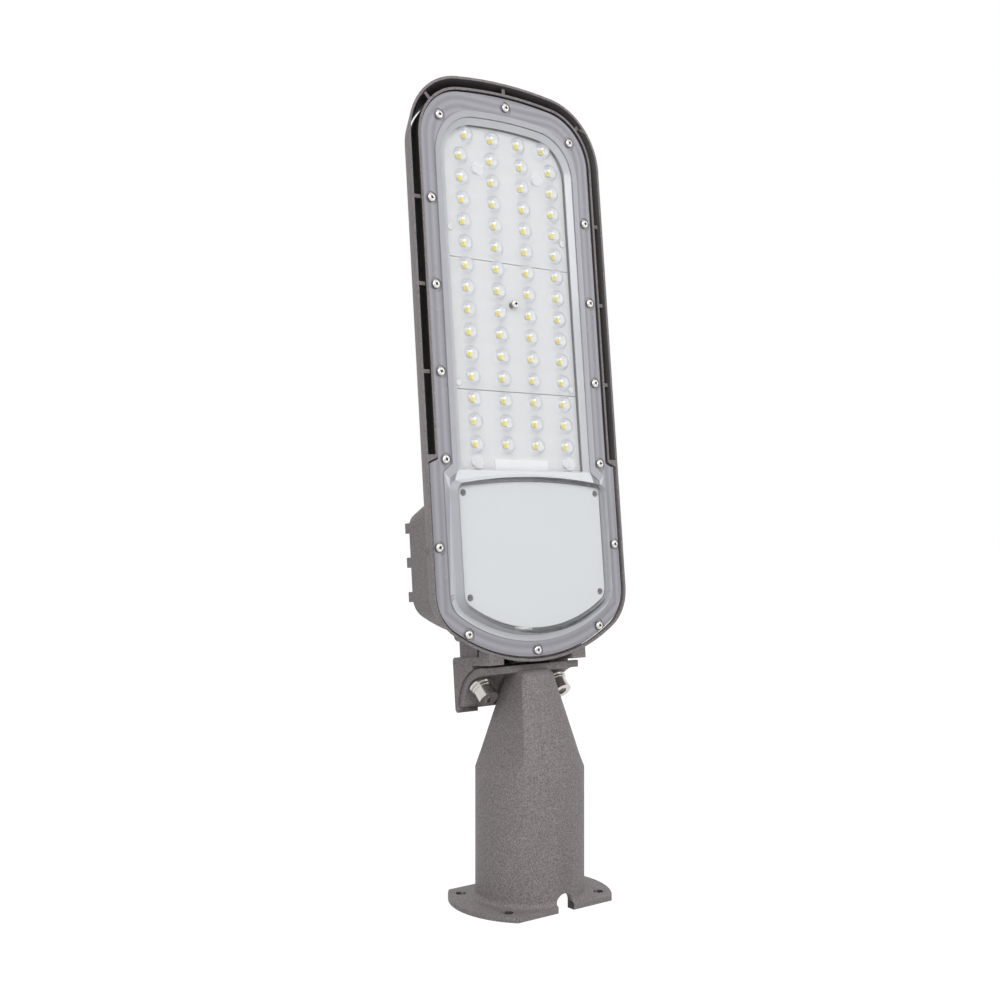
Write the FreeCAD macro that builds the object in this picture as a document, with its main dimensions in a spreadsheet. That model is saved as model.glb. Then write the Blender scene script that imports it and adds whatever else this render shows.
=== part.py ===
import FreeCAD, Part
import Sketcher
import math
import os
import re

# LED street light head. Millimetres, Z up. The pole spigot stands on the
# origin with its flange on Z = 0 and the lens faces -Y. The light head is
# drawn in its own frame, centred on the tilt pivot, and leans back about X.

SIZES = [
    ("pivot_forward", 3.0),
    ("pivot_height", 123.3),
    ("head_lean", 5.5),
    ("cover_plane", 10.12),
    ("screw_row", 35.25),
    ("corner_x", 33.5),
    ("corner_z", 325.5),
    ("corner_round", 45.0),
    ("crown_round", 300.0),
    ("foot_x", 48.5),
    ("foot_z", 37.8),
    ("foot_round", 30.0),
    ("keel_round", 118.0),
    ("rim_front", 0.5),
    ("rim_back", 20.0),
    ("rim_draft", 9.7),
    ("rim_lip", 1.7),
    ("slot_gap", 5.5),
    ("slot_exit", 0.9),
    ("slot_foot", 124.0),
    ("step_top", 122.5),
    ("step_bottom", 119.5),
    ("tray_lip", 1.7),
    ("rib_width", 2.4),
    ("rib_front", 2.4),
    ("rib_back", 5.0),
    ("ledge_depth", 4.3),
    ("cover_gap", 0.8),
    ("cover_gap_low", 1.5),
    ("cover_front", 1.8),
    ("pan_x", 25.0),
    ("pan_z", 316.0),
    ("pan_round", 25.0),
    ("pan_crown", 270.0),
    ("pan_depth", 3.9),
    ("pan_wall", 2.0),
    ("pan_slope", 4.0),
    ("pan_foot", 111.5),
    ("pan_clear", 1.5),
    ("floor_depth", 8.5),
    ("tray_back", 13.0),
    ("tray_skirt", 17.0),
    ("tray_foot", 109.0),
    ("fin_back", 30.0),
    ("fin_wide", 2.4),
    ("fin_pitch", 10.0),
    ("fin_low", 112.0),
    ("fin_high", 334.0),
    ("box_start", 12.0),
    ("box_start_inset", 12.0),
    ("box_start_top", 104.0),
    ("box_back", 47.0),
    ("box_inset", 15.5),
    ("box_top", 93.0),
    ("box_corner", 10.0),
    ("box_wall", 3.2),
    ("box_rib_tall", 6.5),
    ("box_rib_proud", 4.6),
    ("box_rib_low", 38.6),
    ("box_rib_pitch", 22.0),
    ("seal_round", 33.5),
    ("seal_wide", 4.0),
    ("seal_groove", 2.4),
    ("seal_side_inset", 13.0),
    ("block_half", 39.4),
    ("block_rear", 30.0),
    ("block_top", 33.6),
    ("block_foot", 1.6),
    ("block_corner", 2.5),
    ("block_start", 9.0),
    ("pad_inner", 28.0),
    ("pad_low", 28.2),
    ("pad_front", 9.3),
    ("pad_rear", 1.1),
    ("neck_half", 37.0),
    ("neck_side", 24.9),
    ("neck_narrow", 31.0),
    ("neck_high", 52.5),
    ("channel_half", 23.5),
    ("channel_rear", 27.7),
    ("channel_top", 40.75),
    ("seat_gap", 0.6),
    ("plate_round", 22.3),
    ("plate_thick", 4.4),
    ("plate_half", 38.3),
    ("plate_low", 0.0),
    ("plate_high", 90.0),
    ("bolt_x", 30.0),
    ("bolt_angle", 42.5),
    ("bolt_round", 4.0),
    ("bolt_long", 20.0),
    ("bolt_head", 6.5),
    ("bolt_head_tall", 8.0),
    ("bolt_key", 3.0),
    ("washer_gap", 0.3),
    ("washer_round", 8.0),
    ("washer_thick", 1.6),
    ("spring_round", 7.0),
    ("spring_thick", 2.0),
    ("slot_round", 4.4),
    ("slot_low", 36.0),
    ("slot_high", 49.0),
    ("flange_round", 52.5),
    ("flange_flat", 36.5),
    ("flange_thick", 3.4),
    ("flange_fillet", 3.6),
    ("hole_x", 36.5),
    ("hole_y", 25.0),
    ("hole_round", 3.25),
    ("tube_round", 35.0),
    ("bore_round", 31.0),
    ("tube_high", 84.4),
    ("cone_slope", 0.336),
    ("cone_high", 147.0),
    ("throat_low", 72.0),
    ("throat_high", 93.0),
    ("throat_round", 17.5),
    ("throat_top", 9.5),
    ("throat_end", 141.0),
    ("nose_round", 6.5),
    ("scoop_x", 22.0),
    ("scoop_z", 95.8),
    ("scoop_slope", 0.19),
    ("scoop_foot", 80.0),
    ("notch_half", 6.2),
    ("notch_high", 11.0),
    ("window_round", 9.0),
    ("window_angle", 58.5),
    ("dome_round", 6.5),
    ("dome_base", 5.9),
    ("dome_pitch_x", 24.7),
    ("dome_pitch_top", 21.4),
    ("dome_pitch_z", 14.4),
    ("dome_low", 132.1),
    ("dome_rows", 14),
    ("chip_side", 3.0),
    ("chip_tall", 0.7),
    ("board_thick", 1.5),
    ("board_half", 50.0),
    ("board_low", 115.5),
    ("board_join_low", 167.4),
    ("board_join_high", 252.8),
    ("board_high_round", 24.0),
    ("board_slit", 0.3),
    ("bump_round", 5.0),
    ("bump_tall", 1.6),
    ("bulge_front", 6.0),
    ("bulge_inset", 16.5),
    ("bulge_front_inset", 17.8),
    ("bulge_top", 108.6),
    ("bulge_front_top", 106.4),
    ("bulge_top_round", 359.0),
    ("bulge_wall", 2.2),
    ("bead_tall", 0.8),
    ("panel_front", 2.0),
    ("panel_thick", 1.5),
    ("panel_inset", 21.5),
    ("panel_top", 104.2),
    ("panel_corner", 3.0),
    ("panel_top_round", 420.0),
    ("post_round", 3.4),
    ("screw_head", 3.3),
    ("board_screw_head", 2.6),
    ("screw_head_tall", 1.8),
    ("screw_shank", 1.9),
    ("screw_long", 12.0),
    ("rim_boss", 3.7),
    ("screw_slot", 0.5),
    ("pocket_round", 4.5),
    ("gland_v", 16.2),
    ("gland_flat", 11.0),
    ("gland_thread", 9.8),
    ("gland_hex_tall", 6.0),
    ("gland_cap_tall", 7.4),
    ("gland_bore", 6.0),
    ("cable_bore", 4.0),
    ("gland_clear", 0.15),
    ("nut_tall", 4.0),
    ("nut_seat", 7.4),
    ("driver_half", 36.0),
    ("driver_low", 43.0),
    ("driver_high", 86.0),
    ("driver_tall", 22.0),
    ("driver_ear", 7.0),
    ("driver_ear_thick", 2.0),
    ("terminal_x", 26.0),
    ("terminal_half", 13.0),
    ("terminal_low", 24.0),
    ("terminal_high", 38.0),
    ("terminal_tall", 15.0),
    ("surge_tall", 18.0),
    ("tab_half", 21.6),
    ("tab_low", 114.0),
    ("tab_high", 123.0),
    ("tab_front", 6.1),
]

doc = FreeCAD.newDocument("light_head")
sheet = doc.addObject("Spreadsheet::Sheet", "Sizes")
for row, (name, value) in enumerate(SIZES, start=1):
    sheet.set("A%d" % row, name)
    sheet.set("B%d" % row, str(value))
    sheet.setAlias("B%d" % row, name)
doc.recompute()
NAMES = {name for name, value in SIZES}


def link(text):
    """Point every size name in an expression at the sheet."""
    return re.sub(
        r"[a-z][a-z_]*[a-z]",
        lambda found: "Sizes." + found.group() if found.group() in NAMES else found.group(),
        text,
    )


def val(text):
    return float(sheet.evalExpression(link(text)))


# Sketch helpers. A sketch sits on an origin plane of its own body, moved by
# expressions, and each corner and radius is held by a sheet expression.
def draw(body, name, plane, shift=("0", "0", "0"), turn=None):
    sketch = body.newObject("Sketcher::SketchObject", name)
    base = [o for o in body.Origin.OriginFeatures if o.Role == plane + "_Plane"][0]
    sketch.AttachmentSupport = [(base, "")]
    sketch.MapMode = "FlatFace"
    rotation = FreeCAD.Rotation()
    if turn:
        rotation = FreeCAD.Rotation(FreeCAD.Vector(1, 0, 0), val(turn))
    offset = FreeCAD.Vector(*[val(item) for item in shift])
    sketch.AttachmentOffset = FreeCAD.Placement(offset, rotation)
    for axis, item in zip("xyz", shift):
        if item != "0":
            sketch.setExpression("AttachmentOffset.Base." + axis, link(item))
    if turn:
        sketch.setExpression("AttachmentOffset.Rotation.Angle", link(turn))
    return sketch


def at_depth(body, name, depth):
    """Sketch on the head's front plane, some depth behind the cover plane."""
    return draw(body, name, "XZ", ("0", "screw_row", "cover_plane - (%s)" % depth))


def hold(sketch, wanted):
    """Add constraints in one go; each is (kind, geometry, point, text)."""
    made = []
    bound = []
    for kind, index, point, text in wanted:
        if kind == "Radius":
            made.append(Sketcher.Constraint(kind, index, val(text)))
            bound.append(text)
        elif text == "0":
            axis = -2 if kind == "DistanceX" else -1
            made.append(Sketcher.Constraint("PointOnObject", index, point, axis))
            bound.append(None)
        else:
            made.append(Sketcher.Constraint(kind, -1, 1, index, point, val(text)))
            bound.append(text)
    numbers = sketch.addConstraint(made)
    for number, text in zip(numbers, bound):
        if text:
            sketch.setExpression("Constraints[%d]" % number, link(text))


def path(sketch, corners):
    """Closed wire. A corner is (x, y), or (x, y, radius, side) where an arc
    starts there: side 1 turns left on its way to the next corner, -1 right."""
    spots = [FreeCAD.Vector(val(c[0]), val(c[1]), 0) for c in corners]
    shapes = []
    order = []
    for number, corner in enumerate(corners):
        start = spots[number]
        stop = spots[(number + 1) % len(spots)]
        if len(corner) == 2:
            shapes.append(Part.LineSegment(start, stop))
            order.append((1, 2))
            continue
        radius = val(corner[2])
        side = corner[3]
        chord = stop.sub(start)
        rise = math.sqrt(max(radius ** 2 - chord.Length ** 2 / 4, 0))
        across = FreeCAD.Vector(-chord.y, chord.x, 0).normalize()
        centre = start.add(chord * 0.5).add(across * (rise * side))
        angles = [math.atan2(p.y - centre.y, p.x - centre.x) for p in (start, stop)]
        if side < 0:
            angles.reverse()
        if angles[1] < angles[0]:
            angles[1] += 2 * math.pi
        circle = Part.Circle(centre, FreeCAD.Vector(0, 0, 1), radius)
        shapes.append(Part.ArcOfCircle(circle, angles[0], angles[1]))
        order.append((1, 2) if side > 0 else (2, 1))
    first = sketch.GeometryCount
    sketch.addGeometry(shapes, False)
    ends = [(first + n, pair[0], pair[1]) for n, pair in enumerate(order)]
    joints = []
    for number, (index, start, last) in enumerate(ends):
        following = ends[(number + 1) % len(ends)]
        joints.append(
            Sketcher.Constraint("Coincident", index, last, following[0], following[1])
        )
    sketch.addConstraint(joints)
    wanted = []
    for (index, start, last), corner in zip(ends, corners):
        wanted.append(("DistanceX", index, start, corner[0]))
        wanted.append(("DistanceY", index, start, corner[1]))
        if len(corner) > 2:
            wanted.append(("Radius", index, 0, corner[2]))
    hold(sketch, wanted)


def circles(sketch, spots, radius):
    first = sketch.GeometryCount
    shapes = []
    wanted = []
    for number, (x, y) in enumerate(spots):
        centre = FreeCAD.Vector(val(x), val(y), 0)
        shapes.append(Part.Circle(centre, FreeCAD.Vector(0, 0, 1), val(radius)))
        wanted.append(("DistanceX", first + number, 3, x))
        wanted.append(("DistanceY", first + number, 3, y))
        wanted.append(("Radius", first + number, 0, radius))
    sketch.addGeometry(shapes, False)
    hold(sketch, wanted)


def box(sketch, left, right, low, high):
    path(sketch, [(left, low), (right, low), (right, high), (left, high)])


def push(body, sketch, length, back=False, both=False, taper=None, cut=False):
    """Pad, or Pocket with cut set. back goes against the sketch normal."""
    kind = "PartDesign::Pocket" if cut else "PartDesign::Pad"
    feature = body.newObject(kind, sketch.Name + "_solid")
    feature.Profile = sketch
    feature.Length = val(length)
    feature.setExpression("Length", link(length))
    feature.Reversed = (not back) if cut else back
    if both:
        feature.SideType = "Symmetric"
    if taper:
        feature.TaperAngle = val(taper)
    sketch.Visibility = False
    return feature


def loft(body, first, last, cut=False):
    kind = "PartDesign::SubtractiveLoft" if cut else "PartDesign::AdditiveLoft"
    feature = body.newObject(kind, last.Name + "_loft")
    feature.Profile = first
    feature.Sections = [last]
    feature.Ruled = True
    return feature


def spin(body, sketch, axis="V_Axis", cut=False):
    kind = "PartDesign::Groove" if cut else "PartDesign::Revolution"
    feature = body.newObject(kind, sketch.Name + "_turned")
    feature.Profile = sketch
    feature.ReferenceAxis = (sketch, [axis])
    feature.Angle = 360
    return feature


def repeat(body, feature, sketch, steps):
    """Repeat a feature in rows; steps are (sketch axis, pitch, count)."""
    whole = body.newObject("PartDesign::MultiTransform", feature.Name + "_grid")
    whole.Originals = [feature]
    rows = []
    for axis, pitch, count in steps:
        row = body.newObject("PartDesign::LinearPattern", feature.Name + "_" + axis)
        row.Direction = (sketch, [axis])
        row.Mode = "Spacing"
        row.Offset = val(pitch)
        row.setExpression("Offset", link(pitch))
        row.Occurrences = int(val(count))
        row.setExpression("Occurrences", link(count))
        rows.append(row)
    whole.Transformations = rows
    body.Tip = whole


PARTS = []


def new_body(name, on_head=True):
    body = doc.addObject("PartDesign::Body", name)
    body.Label = name
    if on_head:
        tilt = FreeCAD.Rotation(FreeCAD.Vector(1, 0, 0), -val("head_lean"))
        shift = FreeCAD.Vector(0, -val("pivot_forward"), val("pivot_height"))
        body.Placement = FreeCAD.Placement(shift, tilt)
        body.setExpression("Placement.Base.y", link("-pivot_forward"))
        body.setExpression("Placement.Base.z", link("pivot_height"))
        body.setExpression("Placement.Rotation.Angle", link("-head_lean"))
    PARTS.append(body)
    return body


# The head's outline is a family of parallel insets: a crown arc and a keel
# arc joined to straight sides by corner arcs that keep their centres.
MAIN = ("corner_x", "corner_z", "corner_round", "crown_round")
PAN = ("pan_x", "pan_z", "pan_round", "pan_crown")
KEEL = ("foot_x", "foot_z", "foot_round", "keel_round")


def arc_joint(family, inset, upward):
    """Radii and the joint between the end arc and its corner arc."""
    x, z, small, big = family
    small = "(%s - (%s))" % (small, inset)
    big = "(%s - (%s))" % (big, inset)
    reach = "(%s - %s)" % (big, small)
    rise = "sqrt(%s^2 - %s^2)" % (reach, x)
    joint_x = "%s * %s / %s" % (x, big, reach)
    if upward:
        joint_z = "%s - %s + %s * %s / %s" % (z, rise, rise, big, reach)
    else:
        joint_z = "%s + %s - %s * %s / %s" % (z, rise, rise, big, reach)
    side = "(%s + %s)" % (x, small)
    return side, z, small, big, joint_x, joint_z


def keel(inset, family=KEEL):
    side, z, small, big, joint_x, joint_z = arc_joint(family, inset, False)
    return [
        ("-" + side, z, small, 1),
        ("-(%s)" % joint_x, joint_z, big, 1),
        (joint_x, joint_z, small, 1),
        (side, z),
    ]


def crown(inset, family=MAIN):
    side, z, small, big, joint_x, joint_z = arc_joint(family, inset, True)
    return [
        (side, z, small, 1),
        (joint_x, joint_z, big, 1),
        ("-(%s)" % joint_x, joint_z, small, 1),
        ("-" + side, z),
    ]


def outline(low, high=None, family=MAIN, foot="step_bottom", head="step_top"):
    """Full outline; with high given, the side steps in above the driver."""
    if high is None:
        return keel(low) + crown(low, family)
    narrow = arc_joint(family, high, True)[0]
    wide = arc_joint(KEEL, low, False)[0]
    return (
        keel(low)
        + [(wide, foot), (narrow, head)]
        + crown(high, family)
        + [("-" + narrow, head), ("-" + wide, foot)]
    )


def tub(inset, top, corner, bow=None):
    """Keel outline closed at the top by a straight or bowed edge."""
    side = arc_joint(KEEL, inset, False)[0]
    shoulder = "%s - %s" % (side, corner)
    fall = "%s - %s" % (top, corner)
    across = ("(%s)" % shoulder, top)
    if bow:
        across = across + (bow, 1)
    return keel(inset) + [
        (side, fall, corner, 1),
        across,
        ("-(%s)" % shoulder, top, corner, 1),
        ("-" + side, fall),
    ]


def arch(inset, foot, family=MAIN):
    """Crown outline closed at the bottom by a straight edge."""
    side = arc_joint(family, inset, True)[0]
    return [("-" + side, foot), (side, foot)] + crown(inset, family)


COVER_SCREWS = [
    ("53.9", "341.9"),
    ("63.3", "286.5"),
    ("63.4", "231.1"),
    ("63.4", "175.9"),
    ("63.2", "121.0"),
    ("71.5", "66.5"),
    ("53.2", "12.7"),
]
screw_spots = [(s + x, z) for x, z in COVER_SCREWS for s in ("", "-")]
screw_spots += [("0", "356.4"), ("0", "0")]
rim_spots = [(s + x, z) for x, z in COVER_SCREWS[5:] for s in ("", "-")] + [("0", "0")]
panel_spots = [(s + x, z) for x, z in (("54.0", "100.5"), ("53.0", "35.5")) for s in ("", "-")]
centre_spot = [("0", "225")]


# Tilt bolts point away from the pivot; heights are measured from it.
WASHER_SEAT = "(sqrt(plate_round^2 - washer_round^2) - washer_gap)"
HEAD_SEAT = "(" + WASHER_SEAT + " - washer_thick - spring_thick)"


def radial(body, name, reach, angle="bolt_angle + head_lean", origin=("0", "0")):
    """Sketch facing outward at some reach from the pivot."""
    shift = (
        "0",
        "%s + (%s) * cos(%s)" % (origin[0], reach, angle),
        "%s + (%s) * sin(%s)" % (origin[1], reach, angle),
    )
    return draw(body, name, "XY", shift, angle + " - 90")


# Housing: rim, lamp tray, driver box, neck and knuckle block in one casting.
def rim_and_tray(body):
    front = at_depth(body, "rim_front_edge", "rim_front")
    path(front, outline("0"))
    back = at_depth(body, "rim_back_edge", "rim_back")
    path(back, outline("rim_draft"))
    loft(body, front, back)
    start = at_depth(body, "box_root", "box_start")
    path(start, tub("box_start_inset", "box_start_top", "box_corner"))
    end = at_depth(body, "box_rear", "box_back")
    path(end, tub("box_inset", "box_top", "box_corner"))
    loft(body, start, end)


def knuckle(body):
    seat = "(plate_round + plate_thick + seat_gap)"
    sketch = draw(body, "block_profile", "YZ")
    path(sketch, [
        (seat, "-block_foot"),
        ("block_rear - block_corner", "-block_foot", "block_corner", 1),
        ("block_rear", "block_corner - block_foot"),
        ("block_rear", "block_top - block_corner", "block_corner", 1),
        ("block_rear - block_corner", "block_top"),
        ("block_start", "block_top"),
        ("block_start", "sqrt(%s^2 - block_start^2)" % seat, seat, -1),
        (seat, "0"),
    ])
    push(body, sketch, "2 * block_half", both=True)
    for name, rear, tall in (("shelf", "block_start + 1", "block_top - pad_low"),
                             ("pads", "pad_rear", "9.0")):
        sketch = draw(body, "front_" + name, "XY", ("0", "0", "pad_low"))
        box(sketch, "pad_inner", "block_half", "-pad_front", rear)
        box(sketch, "-block_half", "-pad_inner", "-pad_front", rear)
        push(body, sketch, tall)
    sketch = draw(body, "neck_plan", "XY", ("0", "0", "block_top - 1"))
    path(sketch, [
        ("neck_half", "block_start - 3"),
        ("neck_half", "neck_side"),
        ("neck_narrow", "block_rear"),
        ("-neck_narrow", "block_rear"),
        ("-neck_half", "neck_side"),
        ("-neck_half", "block_start - 3"),
    ])
    push(body, sketch, "neck_high - block_top + 1")
    sketch = draw(body, "channel_profile", "YZ")
    path(sketch, [
        ("-pad_front - 6", "-block_foot - 2"),
        ("block_rear + 1", "-block_foot - 2"),
        ("block_rear + 1", "-block_foot + 1"),
        ("channel_rear", "block_foot + 1"),
        ("channel_rear", "channel_top"),
        ("gland_v - gland_flat - 0.6", "channel_top"),
        ("gland_v - gland_flat - 0.6", "screw_row"),
        ("-cover_plane + 0.3", "screw_row - 7.2"),
        ("-pad_front - 6", "screw_row - 7.2"),
    ])
    push(body, sketch, "2 * channel_half", both=True, cut=True)


def tray_back(body):
    sketch = at_depth(body, "back_recess", "rim_back")
    path(sketch, arch("tray_skirt", "tray_foot"))
    push(body, sketch, "rim_back - tray_back", back=False, cut=True)
    sketch = at_depth(body, "fin_roots", "tray_back - 0.5")
    for number in range(-5, 6):
        middle = "%d * fin_pitch" % number
        box(sketch, middle + " - fin_wide / 2", middle + " + fin_wide / 2",
            "fin_low", "fin_high")
    push(body, sketch, "fin_back - tray_back + 0.5", back=True)
    sketch = at_depth(body, "rear_ribs", "box_back - 1")
    for number in range(3):
        low = "box_rib_low - box_rib_tall / 2 + %d * box_rib_pitch" % number
        side = "foot_x + foot_round - box_inset"
        box(sketch, "-(%s)" % side, side, low, low + " + box_rib_tall")
    push(body, sketch, "box_rib_proud + 1", back=True)


def through_slots(body):
    """The open slot between rim and tray, then the ribs that bridge it."""
    rings = []
    for name, depth, outer, inner in (
        ("slot_front_ring", "rim_front", "rim_lip", "rim_lip + slot_gap"),
        ("slot_back_ring", "rim_back", "rim_lip + rim_draft", "rim_lip + rim_draft + slot_exit"),
    ):
        ring = at_depth(body, name, depth)
        inside = crown(inner)
        back_way = []
        for number in range(3, -1, -1):
            x, z = inside[number][0], inside[number][1]
            if number > 0:
                back_way.append((x, z, inside[number - 1][2], -1))
            else:
                back_way.append((x, z))
        side_out = arc_joint(MAIN, outer, True)[0]
        side_in = arc_joint(MAIN, inner, True)[0]
        path(ring, [(side_out, "slot_foot")] + crown(outer)
             + [("-" + side_out, "slot_foot"), ("-" + side_in, "slot_foot")]
             + back_way + [(side_in, "slot_foot")])
        rings.append(ring)
    loft(body, rings[0], rings[1], cut=True)
    sketch = at_depth(body, "slot_ribs", "rib_front")
    inner = "corner_x + corner_round - rim_lip - slot_gap - 1.8"
    outer = "corner_x + corner_round - rim_lip - 0.6"
    for height in ("286.5", "231.1", "175.9"):
        low = height + " - rib_width / 2"
        high = height + " + rib_width / 2"
        box(sketch, inner, outer, low, high)
        box(sketch, "-(%s)" % outer, "-(%s)" % inner, low, high)
    apex = "corner_z - sqrt((crown_round - corner_round)^2 - corner_x^2) + crown_round"
    box(sketch, "-rib_width / 2", "rib_width / 2",
        apex + " - rim_lip - slot_gap - 1.8", apex + " - rim_lip - 0.6")
    near = "(corner_round - rim_lip - slot_gap - 1.8)"
    far = "(corner_round - rim_lip - 0.6)"
    for side in ("", "-"):
        path(sketch, [
            (side + "(corner_x + %s * 0.7 + rib_width * 0.35)" % near,
             "corner_z + %s * 0.7 - rib_width * 0.35" % near),
            (side + "(corner_x + %s * 0.7 + rib_width * 0.35)" % far,
             "corner_z + %s * 0.7 - rib_width * 0.35" % far),
            (side + "(corner_x + %s * 0.7 - rib_width * 0.35)" % far,
             "corner_z + %s * 0.7 + rib_width * 0.35" % far),
            (side + "(corner_x + %s * 0.7 - rib_width * 0.35)" % near,
             "corner_z + %s * 0.7 + rib_width * 0.35" % near),
        ])
    push(body, sketch, "rib_back - rib_front", back=True)


def front_recesses(body):
    sketch = at_depth(body, "cover_recess", "rim_front")
    path(sketch, outline("rim_lip", "rim_lip + slot_gap + tray_lip"))
    push(body, sketch, "ledge_depth - rim_front", back=True, cut=True)
    sketch = at_depth(body, "pan_recess", "ledge_depth")
    path(sketch, arch("-pan_clear - 1", "pan_foot", PAN))
    push(body, sketch, "floor_depth - ledge_depth", back=True, cut=True)
    sketch = at_depth(body, "box_cavity", "ledge_depth")
    path(sketch, tub("box_inset + box_wall", "box_top - box_wall", "box_corner"))
    push(body, sketch, "box_back - box_wall - ledge_depth", back=True, cut=True)
    sketch = at_depth(body, "seal_channel", "ledge_depth")
    path(sketch, seal_outer())
    path(sketch, seal_inner())
    push(body, sketch, "seal_groove", back=True, cut=True)


def seal_outer():
    return outline("seal_side_inset", "pan_round - seal_round", PAN,
                   "step_bottom - 6", "step_top - 4")


def seal_inner():
    return outline("seal_side_inset + seal_wide", "pan_round - seal_round + seal_wide",
                   PAN, "step_bottom - 6 - seal_wide", "step_top - 4 - seal_wide")


def threaded_holes(body):
    sketch = at_depth(body, "rim_bosses", "ledge_depth")
    circles(sketch, rim_spots, "rim_boss")
    push(body, sketch, "screw_long - 4", back=True)
    sketch = at_depth(body, "cover_holes", "ledge_depth")
    circles(sketch, screw_spots, "screw_shank + 0.05")
    push(body, sketch, "screw_long - 5.5", back=True, cut=True)
    sketch = at_depth(body, "centre_hole", "floor_depth")
    circles(sketch, centre_spot + BOARD_SCREWS + EDGE_SCREWS, "screw_shank + 0.05")
    push(body, sketch, "4.2", back=True, cut=True)
    for name, spots, foot in (("upper", panel_spots[:2], "ledge_depth + 2"),
                              ("lower", panel_spots[2:], "box_back - 1")):
        sketch = at_depth(body, "panel_posts_" + name, "panel_thick - panel_front")
        circles(sketch, spots, "post_round")
        push(body, sketch, foot + " - panel_thick + panel_front", back=True)
    sketch = at_depth(body, "panel_holes", "panel_thick - panel_front")
    circles(sketch, panel_spots, "screw_shank + 0.05")
    push(body, sketch, "9.0", back=True, cut=True)
    sketch = draw(body, "nut_pad", "XY", ("0", "gland_v", "channel_top + 4"))
    circles(sketch, [("0", "0")], "gland_flat + 3")
    push(body, sketch, "nut_seat - 4")
    sketch = draw(body, "gland_hole", "XY", ("0", "gland_v", "channel_top - 1"))
    circles(sketch, [("0", "0")], "gland_thread + gland_clear")
    push(body, sketch, "12.0", back=False, cut=True)
    sketch = radial(body, "bolt_holes", "plate_round")
    circles(sketch, [("bolt_x", "0"), ("-bolt_x", "0")], "bolt_round + 0.05")
    push(body, sketch, HEAD_SEAT + " + bolt_long + 1 - plate_round", cut=True)
    sketch = at_depth(body, "wire_gap", "ledge_depth")
    box(sketch, "-tab_half / 2", "tab_half / 2", "box_top - 6", "pan_foot + 1")
    push(body, sketch, "floor_depth - ledge_depth", back=True, cut=True)


def build_housing():
    body = new_body("housing")
    rim_and_tray(body)
    knuckle(body)
    tray_back(body)
    through_slots(body)
    front_recesses(body)
    threaded_holes(body)


def build_seal():
    body = new_body("cover_gasket")
    sketch = at_depth(body, "seal_profile", "ledge_depth")
    path(sketch, seal_outer())
    path(sketch, seal_inner())
    push(body, sketch, "seal_groove", back=True)


# Clear cover: flange, bead over the gasket, sunken lamp pan with one lens
# per lamp, and the raised bulge in front of the driver panel.
LAMP_ROWS = (
    ("grid", "dome_pitch_x", "dome_low", "dome_rows"),
    ("top_row", "dome_pitch_top", "dome_low + dome_rows * dome_pitch_z", None),
)


def lamp_steps(pitch, rows):
    steps = [("H_Axis", pitch, "4")]
    if rows:
        steps.append(("V_Axis", "dome_pitch_z", rows))
    return steps


BOARD_SCREWS = [("24.45", "312.6"), ("-24.45", "312.6"), ("37.55", "120.7"), ("-37.55", "120.7")]
EDGE_SCREWS = [("46.5", "272.0"), ("-46.5", "272.0"), ("46.5", "171.5"), ("-46.5", "171.5")]


def cover_flange(body):
    sketch = at_depth(body, "cover_edge", "cover_front")
    path(sketch, outline("rim_lip + cover_gap_low",
                         "rim_lip + slot_gap + tray_lip + cover_gap",
                         MAIN, "step_bottom - 1", "step_top - 1"))
    push(body, sketch, "ledge_depth - cover_front", back=True)
    sketch = at_depth(body, "bead_ring", "cover_front")
    path(sketch, seal_outer())
    path(sketch, seal_inner())
    push(body, sketch, "bead_tall")
    sketch = at_depth(body, "pan_under", "ledge_depth")
    path(sketch, arch("-1", "pan_foot + 1", PAN))
    push(body, sketch, "pan_depth + pan_wall - ledge_depth", back=True)
    rim = at_depth(body, "pan_mouth", "cover_front")
    path(rim, arch("-pan_slope", "pan_foot + 3.5", PAN))
    floor = at_depth(body, "pan_floor", "pan_depth")
    path(floor, arch("0", "pan_foot + 4.5", PAN))
    loft(body, rim, floor, cut=True)


def cover_bulge(body):
    base = at_depth(body, "bulge_base", "cover_front")
    path(base, tub("bulge_inset", "bulge_top", "6", "bulge_top_round"))
    face = at_depth(body, "bulge_face", "-bulge_front")
    path(face, tub("bulge_front_inset", "bulge_front_top", "6", "bulge_top_round"))
    loft(body, base, face)
    under = at_depth(body, "bulge_under", "ledge_depth")
    path(under, tub("bulge_inset + bulge_wall", "bulge_top - bulge_wall", "5",
                    "bulge_top_round"))
    roof = at_depth(body, "bulge_roof", "bulge_wall - bulge_front")
    path(roof, tub("bulge_front_inset + bulge_wall", "bulge_front_top - bulge_wall", "5",
                   "bulge_top_round"))
    loft(body, under, roof, cut=True)


def build_cover():
    body = new_body("front_cover")
    cover_flange(body)
    cover_bulge(body)
    rise = "sqrt(dome_round^2 - dome_base^2)"
    for name, pitch, low, rows in LAMP_ROWS:
        sketch = draw(body, "lens_" + name, "YZ", (
            "pan_depth - cover_plane", "screw_row + " + low, "-1.5 * " + pitch))
        path(sketch, [
            ("0.5", "0"),
            ("0.5", "dome_base"),
            ("0", "dome_base", "dome_round", 1),
            (rise + " - dome_round", "0"),
        ])
        lens = spin(body, sketch, "H_Axis")
        guide = draw(body, "lens_guide_" + name, "XZ")
        repeat(body, lens, guide, lamp_steps(pitch, rows))
    sketch = at_depth(body, "screw_bosses", "pan_depth")
    circles(sketch, BOARD_SCREWS, "bump_round")
    push(body, sketch, "bump_tall", taper="-20")
    sketch = at_depth(body, "screw_pockets", "0")
    circles(sketch, screw_spots, "pocket_round")
    push(body, sketch, "cover_front + 0.5", back=True, cut=True)
    sketch = at_depth(body, "screw_holes", "0")
    circles(sketch, screw_spots + centre_spot, "screw_shank + 0.3")
    push(body, sketch, "floor_depth", back=True, cut=True)


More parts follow.
